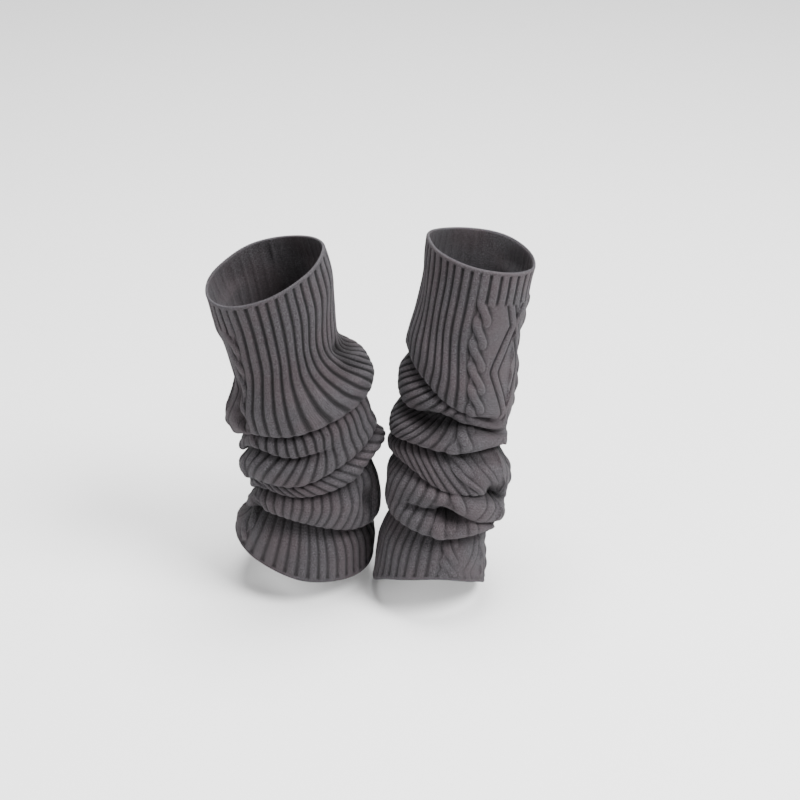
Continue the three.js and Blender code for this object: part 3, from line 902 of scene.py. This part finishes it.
def nap_tree():
    """Loose fibres that stand on the outside of the knit and lean over it at random."""
    tree, given, made = new_group(
        "nap",
        [("Knit", "NodeSocketGeometry", None), ("Density", "NodeSocketFloat", 1000.0),
         ("Length", "NodeSocketFloat", 0.002), ("Seed", "NodeSocketInt", 0),
         ("Material", "NodeSocketMaterial", None)],
        [("Mesh", "NodeSocketGeometry")], "GeometryNodeTree")
    outside = add_node(tree, "GeometryNodeInputNamedAttribute", {"Name": "outside"}, data_type="FLOAT")
    density = maths(tree, "MULTIPLY", outside.outputs[0], given["Density"])
    roots = add_node(tree, "GeometryNodeDistributePointsOnFaces",
                     {"Mesh": given["Knit"], "Density": density, "Seed": given["Seed"]})
    blade = add_node(tree, "GeometryNodeMeshGrid",
                     {"Size X": FIBRE_WIDTH, "Size Y": 1.0, "Vertices X": 2, "Vertices Y": 4})
    spot = add_node(tree, "GeometryNodeInputPosition").outputs[0]
    split = add_node(tree, "ShaderNodeSeparateXYZ", {0: spot})
    rise = maths(tree, "ADD", split.outputs[1], 0.5)
    taper = maths(tree, "MULTIPLY", split.outputs[0], maths(tree, "SUBTRACT", 1.1, rise))
    curl = maths(tree, "MULTIPLY", maths(tree, "POWER", rise, 2.0), FIBRE_CURL)
    bent = add_node(tree, "ShaderNodeCombineXYZ", {0: taper, 1: curl, 2: rise})
    fibre = add_node(tree, "GeometryNodeSetPosition",
                     {"Geometry": blade.outputs[0], "Position": bent.outputs[0]})
    most = np.array((FIBRE_LEAN, FIBRE_LEAN, FIBRE_TURN))
    spin = add_node(tree, "FunctionNodeRandomValue", {0: -most, 1: most, "Seed": given["Seed"]},
                    data_type="FLOAT_VECTOR")
    size = add_node(tree, "FunctionNodeRandomValue",
                    {2: SHORTEST_FIBRE, 3: 1.0, "Seed": given["Seed"]}, data_type="FLOAT")
    length = maths(tree, "MULTIPLY", size.outputs[1], given["Length"])
    leaned = add_node(tree, "FunctionNodeRotateRotation",
                      {"Rotation": roots.outputs["Rotation"], "Rotate By": spin.outputs[0]},
                      rotation_space="LOCAL")
    fibres = add_node(tree, "GeometryNodeInstanceOnPoints",
                      {"Points": roots.outputs[0], "Instance": fibre.outputs[0],
                       "Rotation": leaned.outputs[0], "Scale": length})
    real = add_node(tree, "GeometryNodeRealizeInstances", {0: fibres.outputs[0]})
    dressed = add_node(tree, "GeometryNodeSetMaterial", {0: real.outputs[0], "Material": given["Material"]})
    tree.links.new(dressed.outputs[0], made["Mesh"])
    return tree


def yarn_material(name, look):
    """Plain heathered yarn for loops and loose fibres."""
    material, tree, shader = new_material(
        name, {"Roughness": 0.95, "Specular IOR Level": 0.1, "Sheen Weight": 0.05})
    place = add_node(tree, "ShaderNodeTexCoord").outputs["Object"]
    mixed = mix_colours(tree, noise(tree, place, YARN_SPECKS), tuple(look.dark), tuple(look.light))
    tree.links.new(mixed, shader.inputs["Base Color"])
    return material


class KNIT_OT_edges(bpy.types.Operator):
    """Make the chain of loops along the top edge and the hem of each leg warmer"""

    bl_idname = "knit.edges"
    bl_label = "Edges"

    def execute(self, context):
        sizes, look = context.scene.knit_sizes, context.scene.yarn_look
        material = yarn_material("edge_yarn", look)
        tree = chain_tree()
        columns = RIBS_ROUND * CHAIN_COLUMNS
        places = np.linspace(PANEL_FROM, RIBS_ROUND + PANEL_FROM, columns, endpoint=False)
        for side in PAIR:
            form = TubeForm(side)
            down, out = form.directions(places, form.ways)
            face = form.surface(places, form.ways)
            for edge, row, way in (("top_edge", 0, -1), ("hem_edge", -1, 1)):
                aside = way * down[row] * sizes.wall * CHAIN_PAST
                line = face[row] * MM - out[row] * sizes.wall * CHAIN_IN + aside
                base = bpy.data.meshes.new("line")
                base.from_pydata(line.tolist(), [(i, (i + 1) % columns) for i in range(columns)], [])
                settings = {"Spacing": sizes.edge_loop, "Thickness": sizes.wall * CHAIN_THICKNESS,
                            "Material": material}
                mesh = grown_mesh(f"{side}_{edge}", base, tree, settings)
                finish_piece(f"{side}_{edge}", mesh, material)
        return {"FINISHED"}


class KNIT_OT_nap(bpy.types.Operator):
    """Make the loose fibres of the brushed yarn on each leg warmer"""

    bl_idname = "knit.nap"
    bl_label = "Nap"

    def execute(self, context):
        sizes, look = context.scene.knit_sizes, context.scene.yarn_look
        material = yarn_material("nap_yarn", look)
        tree = nap_tree()
        for side in PAIR:
            for part, slot in (("rib_knit", "grey_rib_knit"), ("cable_knit", "grey_cable_knit")):
                knit = bpy.data.objects.get(f"{side}_{part}")
                if knit is None:
                    raise RuntimeError(f"{side}_{part} has to be made before its nap")
                name = f"{side}_{part}_nap"
                settings = {"Density": sizes.nap_density, "Length": sizes.nap_length,
                            "Seed": sizes.nap_seed, "Material": material}
                mesh = grown_mesh(name, knit.data, tree, settings)
                finish_piece(name, mesh, material)
        return {"FINISHED"}


class KNIT_OT_cut(bpy.types.Operator):
    """A step for the flat size of each piece of knit, which as yet does nothing"""

    bl_idname = "knit.cut"
    bl_label = "Cut"

    def execute(self, context):
        return {"FINISHED"}


class KNIT_OT_stage(bpy.types.Operator):
    """Make the pale floor, the soft lights and the camera"""

    bl_idname = "knit.stage"
    bl_label = "Stage"

    def execute(self, context):
        stage = context.scene.stage_sizes
        self.make_floor(stage.floor_height)
        world = bpy.data.worlds.new("soft_room")
        world.use_nodes = True
        background = world.node_tree.nodes["Background"]
        background.inputs["Color"].default_value = (1, 1, 1, 1)
        background.inputs["Strength"].default_value = ROOM_LIGHT
        context.scene.world = world
        for row in LIGHTS:
            self.make_light(**dict(zip(LIGHT_COLUMNS, row)))
        self.make_camera(context, stage)
        return {"FINISHED"}

    def make_floor(self, height):
        mesh = bpy.data.meshes.new("floor")
        corners = [(x * FLOOR_HALF, y * FLOOR_HALF, height) for x, y in ((-1, -1), (1, -1), (1, 1), (-1, 1))]
        mesh.from_pydata(corners, [], [(0, 1, 2, 3)])
        floor = new_object("floor", mesh)
        look = {"Base Color": (0.9, 0.9, 0.9, 1), "Roughness": 0.8}
        mesh.materials.append(new_material("pale_floor", look)[0])

    def make_light(self, name, place, size, power):
        light = bpy.data.lights.new(name, "AREA")
        light.shape = "DISK"
        light.size = size
        light.energy = power
        lamp = new_object(name, light)
        lamp.location = place
        aim = np.array(LIGHTS_AIM) - np.array(place)
        across = math.atan2(aim[1], aim[0])
        tilt = math.atan2(math.hypot(aim[0], aim[1]), -aim[2])
        lamp.rotation_euler = (tilt, 0, across - math.pi / 2)

    def make_camera(self, context, stage):
        data = bpy.data.cameras.new("camera")
        data.lens = CAMERA_LENS
        data.sensor_width = CAMERA_SENSOR
        camera = new_object("camera", data)
        pitch, distance = stage.camera_pitch, stage.camera_distance
        x, y, z = CAMERA_TARGET
        camera.location = (x, y - distance * math.cos(pitch), z + distance * math.sin(pitch))
        camera.rotation_euler = (math.pi / 2 - pitch, 0, 0)
        context.scene.camera = camera


class KNIT_PT_panel(bpy.types.Panel):
    """Lists what makes the leg warmers and their stage"""

    bl_label = "Leg warmers"
    bl_idname = "KNIT_PT_panel"
    bl_space_type = "VIEW_3D"
    bl_region_type = "UI"
    bl_category = "Knitwear"

    def draw(self, context):
        for settings in (context.scene.knit_sizes, context.scene.yarn_look, context.scene.stage_sizes):
            for name in settings.__annotations__:
                self.layout.prop(settings, name)
        for operator in OPERATORS:
            self.layout.operator(operator.bl_idname)


OPERATORS = (
    KNIT_OT_ribbed_parts, KNIT_OT_cable_panels, KNIT_OT_edges, KNIT_OT_nap, KNIT_OT_cut, KNIT_OT_stage)
SETTINGS = {"knit_sizes": KnitSizes, "yarn_look": YarnLook, "stage_sizes": StageSizes}


def register():
    for made in (*SETTINGS.values(), *OPERATORS, KNIT_PT_panel):
        bpy.utils.register_class(made)
    for name, group in SETTINGS.items():
        setattr(bpy.types.Scene, name, PointerProperty(type=group))


def unregister():
    for name in SETTINGS:
        delattr(bpy.types.Scene, name)
    for made in reversed((*SETTINGS.values(), *OPERATORS, KNIT_PT_panel)):
        bpy.utils.unregister_class(made)


def main():
    register()
    for operator in OPERATORS:
        module, name = operator.bl_idname.split(".")
        getattr(getattr(bpy.ops, module), name)()


if __name__ == "__main__":
    main()
